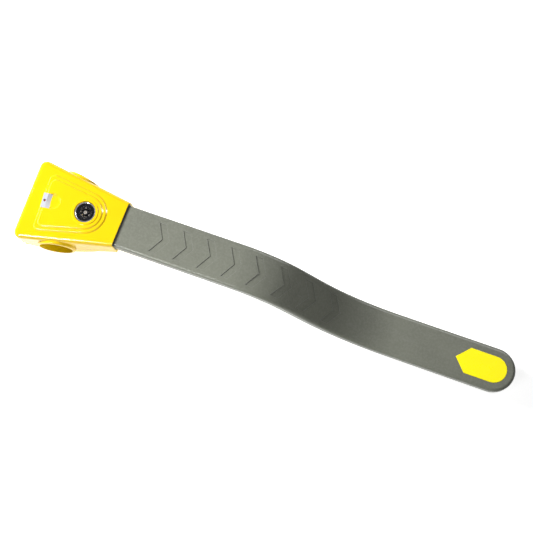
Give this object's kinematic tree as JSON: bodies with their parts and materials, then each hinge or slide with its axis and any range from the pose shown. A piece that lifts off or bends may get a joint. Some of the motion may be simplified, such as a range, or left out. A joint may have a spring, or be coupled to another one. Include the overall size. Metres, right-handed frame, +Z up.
{
  "type": "steering wheel lock",
  "caption": "Clamp-on steering wheel lock: a tapered head with hinged jaw, tubular key cylinder and warning light, on a long flat joggled arm with a round end.",
  "frame": {"origin": "middle of the clamped rim: centre of the round channel between the head's pads", "axes": "+Y along the clamped rim, +X level towards the arm's tip, +Z up; the plane of X and Y is parallel to the plane that the lock lies on, and the head is pitched 8.4 degrees from it"},
  "size_m": [0.6002, 0.0964, 0.0779],
  "materials": {
    "yellow_cast": "gloss yellow stove enamel",
    "yellow_plastic": "gloss yellow",
    "arm_grey": "fine matte grain, grey-green",
    "steel": "bright zinc plate",
    "black_steel": "black",
    "zinc_cast": "as cast",
    "chrome": "polished",
    "lock_black": "satin black",
    "brass": "machined",
    "silver_trim": "silver lacquer",
    "red_lens": "clear red",
    "board_green": "solder mask",
    "black_plastic": "moulded",
    "pad_rubber": "matt",
    "bronze": "sintered bronze"
  },
  "bodies": {
    "root": {"head_cover": "yellow_cast", "back_cover": "yellow_plastic", "back_screws": "black_steel", "head_frame": "steel", "cover_screws": "steel", "housing_screws": "steel", "upper_pad": "pad_rubber", "led_bezel": "silver_trim", "led_lamp": "red_lens", "led_board": "board_green", "button_cells": "steel", "battery_holder": "black_plastic", "lock_housing": "zinc_cast", "bolt_plate": "steel", "plate_screws": "steel", "lock_bezel": "chrome", "cylinder_shell": "lock_black", "hinge_pin": "steel", "arm_core": "steel", "arm_sleeve": "arm_grey", "end_inlay": "yellow_plastic", "arm_spacer": "steel", "arm_rivets": "steel", "neck_gasket": "black_plastic"},
    "jaw": {"jaw_shell": "yellow_cast", "lower_pad": "pad_rubber", "striker": "steel", "striker_screws": "steel", "hinge_bushes": "bronze"},
    "plug": {"cylinder_plug": "lock_black", "key_pins": "brass", "plug_cam": "steel", "cam_screw": "steel"},
    "bolt": {"latch_bolt": "steel"}
  },
  "joints": [
    {"name": "jaw_hinge", "type": "hinge", "parent": "root", "child": "jaw", "pos_m": [-0.03524, 0, -0.00776], "axis": [0, 1, 0], "range_deg": [0, 78]},
    {"name": "lock_turn", "type": "hinge", "parent": "root", "child": "plug", "pos_m": [0.02485, 0, 0.01987], "axis": [-0.1469, 0, 0.9892], "range_deg": [0, 90]},
    {"name": "bolt_slide", "type": "slide", "parent": "root", "child": "bolt", "axis": [0.9892, 0, 0.1469], "range_m": [0, 0.0071]}
  ],
  "couplings": [
    {"joint": "bolt_slide", "follows": "lock_turn", "m_per_rad": 0.0045}
  ]
}
